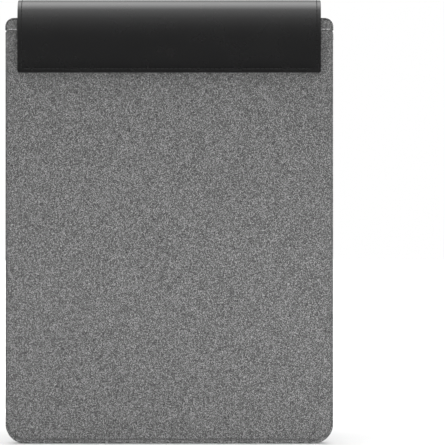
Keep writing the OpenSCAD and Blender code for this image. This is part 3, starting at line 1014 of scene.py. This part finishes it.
def leatherFront(x, along):
    straight = straightDistance(x, along)
    sunk = grooveDepth(straight - hide["stitchIn"], hide["groove"], hide["grooveHalf"])
    return (hide["pillow"] * smooth(0, hide["pillowReach"], straight)
            - roundedEdge(leatherEdge(x, along), hide["edge"]) - sunk)

def leatherBack(x, along):
    return -leatherThickness(along) + roundedEdge(leatherEdge(x, along), hide["innerEdge"])

# the start point and the finish point of one joint round the roll
def turnPoints(index):
    def onBend(turn):
        a, radius = math.radians(turn), roll["radius"] - roll["bendIn"]
        return (0, roll["axisY"] + radius * math.cos(a), roll["axisZ"] + radius * math.sin(a))

    if index == 0:
        return (0, roll["backBend"], roll["anchorTop"]), (0, roll["backBend"], roll["axisZ"])
    start = onBend(roll["turns"][index - 1])
    if index == 5:
        return (0, roll["frontBend"], start[2]), (0, roll["frontBend"], roll["frontTop"] + roll["bendOver"])
    return start, onBend(roll["turns"][index])

# a piece rides on the body named; given a joint's number, it stays where it is, its place baked into its mesh
def attach(obj, body):
    if isinstance(body, str):
        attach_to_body(obj, body)
    else:
        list(turnPoints(body))
        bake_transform(obj)

def makeLeatherPiece(name, start, stop, body, startSteps, stopSteps, step, node):
    stations = []
    for d in spacing(stop - start, step, startSteps, stopSteps):
        end = float(endDistance(start + d))
        stations.append(rollStation(start + d, cornerWidth(roll["half"], end, hide["corner"])))
    obj = makeLayer(name, finish["leather"], stations, (1, 0, 0), hideSteps, hide["columnStep"],
                    leatherFront, leatherBack, openStart=startSteps is openSteps,
                    openStop=stopSteps is openSteps, distance=leatherEdge)
    if node:
        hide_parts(node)
    attach(obj, body)

makeLeatherPiece("anchor_leather", cuts[0], cuts[1], "sleeve", hideSteps, openSteps, hide["anchorStep"],
                 "flap_anchor")
for index in range(6):
    node = f"roll_leather_{index + 1}" if index < 5 else None        # the last one bridges to the flap
    makeLeatherPiece(f"roll_leather_{index + 1}_skin", cuts[index + 1], cuts[index + 2], index,
                     openSteps, openSteps, hide["rollStep"], node)
makeLeatherPiece("flap_leather_skin", cuts[7], cuts[8], "flap", openSteps, hideSteps, hide["flapStep"],
                 "flap_leather")
print("leather made")


# suede

suedeCut = {
    "inset": 1.5 * mm, "flapInset": 0.5 * mm, "flapLow": 313.5 * mm, "flapHigh": 316 * mm,
    "start": alongAtHeight(319.25 * mm, False), "stop": flapEnd - 0.5 * mm,
    "edge": 0.25 * mm, "glue": 0.01 * mm, "groove": 0.12 * mm, "tiltFrom": 170, "tiltTo": 176,
    "rollStep": 0.7 * mm, "flapStep": 3 * mm, "columnStep": 6 * mm,
}
suedeSteps = steps(0, 0.05, 0.15, 0.3, 0.7, 1.3, 1.8, 2.1, 2.5, 2.9, 3.3, 4.5, 8)

# the suede widens as it comes down onto the board
def suedeHalf(along):
    y, z, tilt = onRoll(along)
    onFlap = (1 - smooth(suedeCut["flapLow"], suedeCut["flapHigh"], z)) * (tilt > suedeCut["tiltFrom"])
    return float(roll["half"] - suedeCut["inset"] + (suedeCut["inset"] - suedeCut["flapInset"]) * onFlap)

def makeSuedePiece(name, start, stop, body, startSteps, stopSteps, step, node):
    stations = [rollStation(start + d, suedeHalf(start + d))
                for d in spacing(stop - start, step, startSteps, stopSteps)]
    halves = np.array([station[2] for station in stations])[:, None]

    def toEdge(x, along):
        return np.minimum(halves - np.abs(x), np.minimum(along - suedeCut["start"], suedeCut["stop"] - along))

    def glued(x, along):
        return -leatherThickness(along) - suedeCut["glue"]

    def face(x, along):
        fromSeam = straightDistance(x, along) - hide["stitchIn"]
        sunk = grooveDepth(fromSeam, suedeCut["groove"], hide["grooveHalf"])
        sunk = sunk * smooth(suedeCut["tiltFrom"], suedeCut["tiltTo"], onRoll(along)[2])
        edge = roundedEdge(toEdge(x, along), suedeCut["edge"])
        return glued(x, along) - hide["suede"] + edge + sunk

    obj = makeLayer(name, finish["suede"], stations, (1, 0, 0), suedeSteps, suedeCut["columnStep"],
                    glued, face, openStart=startSteps is openSteps, openStop=stopSteps is openSteps,
                    distance=toEdge)
    if node:
        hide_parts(node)
    attach(obj, body)

makeSuedePiece("roll_suede_1_lining", suedeCut["start"], cuts[2], 0, steps(0, 0.1, 0.3), openSteps,
               suedeCut["rollStep"], "roll_suede_1")
for index in range(1, 6):
    node = f"roll_suede_{index + 1}" if index < 5 else None
    makeSuedePiece(f"roll_suede_{index + 1}_lining", cuts[index + 1], cuts[index + 2], index,
                   openSteps, openSteps, suedeCut["rollStep"], node)
makeSuedePiece("flap_suede_lining", cuts[7], suedeCut["stop"], "flap", openSteps, suedeSteps[:6],
               suedeCut["flapStep"], "flap_suede")
print("suede made")


# leather stitching

seam = {"radius": 0.27 * mm, "rise": 0.02 * mm, "suedeSunk": 0.1 * mm, "in": hide["stitchIn"]}

# one stitch on the leather's outer face or the suede's inner one, at x, running along or across the strip
def leatherStitch(x, along, across, inner):
    (_, y, z), outward = rollStation(along, roll["half"])[:2]
    outward = np.array(outward)
    lengthways = np.array((0, -outward[2], outward[1]))
    if inner:
        lift = -float(leatherThickness(along)) - hide["suede"] + seam["suedeSunk"]
    else:
        lift = float(leatherFront(np.array([[x]]), np.array([[along]]))[0, 0])
    centre = np.array((x, y, z)) + outward * lift
    return centre, (np.array((1, 0, 0)) if across else lengthways), -outward if inner else outward

def makeLeatherThread(name, body, node, alongs, crossings=(), faces=(False,)):
    x = roll["half"] - seam["in"]
    places = []
    for inner in faces:
        places += [leatherStitch(side * x, along, False, inner) for side in (-1, 1) for along in alongs]
        places += [leatherStitch(at, along, True, inner) for at, along in crossings]
    obj = makeStitches(name, finish["blackThread"], places, seam["radius"], rise=seam["rise"])
    if node:
        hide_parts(node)
    attach(obj, body)

crossX = roll["half"] - seam["in"] - 0.5 * thread["pitch"]
crossPlaces = evenly(-crossX, crossX, thread["pitch"])
makeLeatherThread("anchor_thread", "sleeve", "anchor_stitches",
                  evenly(cuts[0] + seam["in"], cuts[1], thread["pitch"]),
                  [(x, seam["in"]) for x in crossPlaces])
for index in range(6):
    makeLeatherThread(f"roll_thread_{index + 1}", index, f"roll_stitches_{index + 1}" if index < 5 else None,
                      evenly(cuts[index + 1], cuts[index + 2], thread["pitch"]))
makeLeatherThread("flap_thread", "flap", "flap_stitches",
                  evenly(cuts[7], flapEnd - seam["in"], thread["pitch"]),
                  [(x, flapEnd - seam["in"]) for x in crossPlaces], (False, True))
print("leather stitching made")


# floor, light and world

studio = {
    "floor": 0.6, "speck": 0.01, "speckScale": 30, "floorRoughness": 0.25, "floorHalf": 9, "drop": 0.1 * mm,
    "seen": 1.0,                                             # the background behind the case
    "top": 4.3, "rise": 1.5,                               # sky: overhead, and its curve to the horizon
    "back": 0.4, "backTo": 0.8,                              # share of it left behind the case
    "ground": 0.7, "groundFrom": -0.12, "groundTo": -0.5,  # what shiny surfaces see well below them
    "glow": 0.9, "glowLeast": 0.12, "glowFrom": 0.05, "glowTo": 0.8,   # painted light: the floor glows, faintly near the case and fully away from it
    # name: (place, aimed at, width, height, power in watts, whether it shows in shiny surfaces)
    "boxes": {
        "overhead": ((0, -0.15, 1.2), (0, -0.1, 0), 1.3, 0.6, 1.0, True),
        "frontRight": ((0.75, -0.65, 0.1), (0, 0, 0.05), 0.7, 0.4, 2.2, False),
        "frontLeft": ((-0.75, -0.65, 0.1), (0, 0, 0.05), 0.7, 0.4, 1.3, False),
        "frontLow": ((0.06, -0.32, 0.0), (0.02, 0, 0), 0.8, 0.15, 3.3, False),
        "backRight": ((0.75, 0.65, 0.1), (0, 0, 0.05), 0.7, 0.4, 2.4, False),
        "backLeft": ((-0.75, 0.65, 0.1), (0, 0, 0.05), 0.7, 0.4, 2.4, False),
        "backLow": ((0, 0.34, 0.0), (0, 0, 0), 0.8, 0.15, 3.2, False),
    },
}

def makeFloor():
    s, reach = studio, studio["floorHalf"]
    corners = [(x * reach, y * reach, -s["drop"]) for x, y in ((-1, -1), (1, -1), (1, 1), (-1, 1))]
    mesh = bpy.data.meshes.new("floor")
    mesh.from_pydata(corners, [], [(0, 1, 2, 3)])
    material, tree, shader = newMaterial("paleFloor", {
        "Roughness": s["floorRoughness"], "Specular IOR Level": 0.5, "Emission Strength": s["glow"]})
    # painted light: the floor's glow, weak near the case and full away from it
    away = addNode(tree, "ShaderNodeVectorMath", {0: solidPlace(tree)}, operation="LENGTH").outputs["Value"]
    lit = fade(tree, away, s["glowFrom"], s["glowTo"])
    feed(tree, shader.inputs["Emission Color"], ramp(tree, lit, [(0.0, s["glowLeast"]), (1.0, 1.0)]))
    speckled = ramp(tree, noise(tree, solidPlace(tree), s["speckScale"], 3), [
        (0.3, s["floor"] * (1 - s["speck"])), (0.7, s["floor"] * (1 + s["speck"]))])
    feed(tree, shader.inputs["Base Color"], speckled)
    mesh.materials.append(material)
    obj = bpy.data.objects.new("floor", mesh)
    bpy.context.scene.collection.objects.link(obj)
    obj.visible_glossy = False       # keeps the floor out of the leather's shine

def makeLights():
    for name, (place, aim, wide, high, power, shows) in studio["boxes"].items():
        data = bpy.data.lights.new(name, "AREA")
        data.shape = "RECTANGLE"
        data.size = wide
        data.size_y = high
        data.energy = power
        obj = bpy.data.objects.new(name, data)
        bpy.context.scene.collection.objects.link(obj)
        obj.location = place
        obj.rotation_euler = (Vector(aim) - Vector(place)).to_track_quat("-Z", "Y").to_euler()
        obj.visible_camera = False
        obj.visible_glossy = shows

# white where the camera sees it; as light it is a soft sky, brightest overhead and dark at the horizon
def makeWorld():
    world = bpy.data.worlds.new("studio")
    world.use_nodes = True
    bpy.context.scene.world = world
    tree = world.node_tree
    tree.nodes.clear()
    direction = addNode(tree, "ShaderNodeTexCoord").outputs["Generated"]
    split = addNode(tree, "ShaderNodeSeparateXYZ", {0: direction})
    height = maths(tree, "POWER", maths(tree, "MAXIMUM", split.outputs[2], 0.0), studio["rise"])
    above = fade(tree, split.outputs[1], 0.0, studio["backTo"], studio["top"], studio["top"] * studio["back"])
    below = fade(tree, split.outputs[2], studio["groundFrom"], studio["groundTo"], 0.0, studio["ground"])
    white = (1, 1, 1, 1)
    lit = addNode(tree, "ShaderNodeBackground", {
        "Color": white, "Strength": maths(tree, "MULTIPLY_ADD", height, above, below)})
    seen = addNode(tree, "ShaderNodeBackground", {"Color": white, "Strength": studio["seen"]})
    isCamera = addNode(tree, "ShaderNodeLightPath").outputs["Is Camera Ray"]
    mix = addNode(tree, "ShaderNodeMixShader", {0: isCamera, 1: lit.outputs[0], 2: seen.outputs[0]})
    addNode(tree, "ShaderNodeOutputWorld", {0: mix.outputs[0]})

makeFloor()
makeLights()
makeWorld()
bpy.context.scene.view_settings.view_transform = "Standard"
print("studio set")
